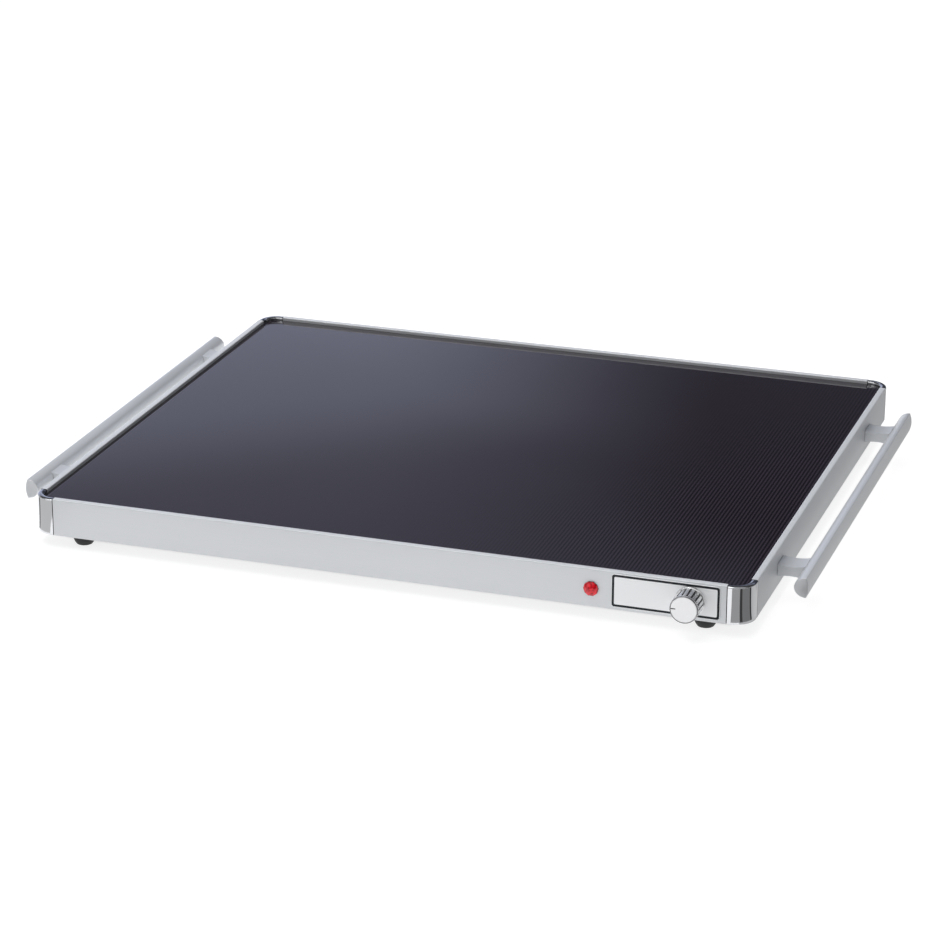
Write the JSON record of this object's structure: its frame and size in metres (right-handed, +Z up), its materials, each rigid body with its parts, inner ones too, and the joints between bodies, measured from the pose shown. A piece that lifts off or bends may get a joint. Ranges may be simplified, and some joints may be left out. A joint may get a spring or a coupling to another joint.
{
  "type": "hot stone heater",
  "caption": "Flat electric stone warmer: dark glass plate in a shallow metal frame with carrying bars at the sides, a front rotary knob and pilot lamp, and a rear mains inlet.",
  "frame": {"origin": "centre of the bounding box in X and Y, on the surface that the feet stand on", "axes": "+X along the long side, towards the knob end; +Y from the knob side to the inlet side; +Z up"},
  "size_m": [0.6628, 0.535, 0.041],
  "materials": {
    "frame_aluminium": "satin anodised",
    "chrome": "polished",
    "dark_glass": "gloss, fine printed lines",
    "black_rubber": "matt",
    "heating_foil": "etched foil",
    "mica": "matt",
    "insulation": "matt fibre",
    "pan_steel": "zinc plated",
    "screw_steel": "bright",
    "handle_aluminium": "satin anodised",
    "silver_panel": "silver print with a dark border",
    "knob_chrome": "satin chrome",
    "knob_face": "fine satin",
    "black_plastic": "moulded",
    "red_lens": "clear, faceted",
    "brass": "bright",
    "circuit_board": "semi-gloss",
    "white_nylon": "moulded",
    "brown_wire": "satin",
    "blue_wire": "satin",
    "green_wire": "satin",
    "red_wire": "satin"
  },
  "bodies": {
    "heater": {"front_rail": "frame_aluminium", "rear_rail": "frame_aluminium", "left_rail": "frame_aluminium", "right_rail": "frame_aluminium", "corner_front_left": "chrome", "corner_front_right": "chrome", "corner_rear_left": "chrome", "corner_rear_right": "chrome", "glass_plate": "dark_glass", "glass_seal": "black_rubber", "foot_front_left": "black_rubber", "foot_front_right": "black_rubber", "foot_rear_left": "black_rubber", "foot_rear_right": "black_rubber", "heating_foil": "heating_foil", "heater_backing_sheet": "mica", "insulation_blanket": "insulation", "base_pan": "pan_steel", "foot_screw_front_left": "screw_steel", "foot_screw_front_right": "screw_steel", "foot_screw_rear_left": "screw_steel", "foot_screw_rear_right": "screw_steel", "handle_screw_front_left": "screw_steel", "handle_screw_front_right": "screw_steel", "handle_screw_rear_left": "screw_steel", "handle_screw_rear_right": "screw_steel", "inlet_screw_left": "screw_steel", "inlet_screw_right": "screw_steel", "potentiometer_nut": "screw_steel", "pilot_lamp_clip": "screw_steel", "temperature_sensor": "screw_steel", "handle_bar_left": "handle_aluminium", "handle_bar_right": "handle_aluminium", "handle_bracket_front_left": "handle_aluminium", "handle_bracket_front_right": "handle_aluminium", "handle_bracket_rear_left": "handle_aluminium", "handle_bracket_rear_right": "handle_aluminium", "label_panel": "silver_panel", "potentiometer_body": "black_plastic", "pilot_lamp_body": "black_plastic", "mains_inlet": "black_plastic", "thermal_cutout": "black_plastic", "pilot_lamp_lens": "red_lens", "inlet_live_pin": "brass", "inlet_neutral_pin": "brass", "inlet_earth_pin": "brass", "earth_stud": "brass", "control_board": "circuit_board", "board_tray": "white_nylon", "lamp_lead": "white_nylon", "live_wire": "brown_wire", "neutral_wire": "blue_wire", "heater_neutral_wire": "blue_wire", "earth_wire": "green_wire", "cutout_wire": "red_wire", "heater_live_wire": "red_wire"},
    "knob": {"control_knob": "knob_chrome", "knob_face_disc": "knob_face", "potentiometer_shaft": "screw_steel"}
  },
  "joints": [
    {"name": "knob_turn", "type": "hinge", "parent": "heater", "child": "knob", "pos_m": [0.2525, -0.2467, 0.0259], "axis": [0, 1, 0], "range_deg": [-45, 225]}
  ]
}
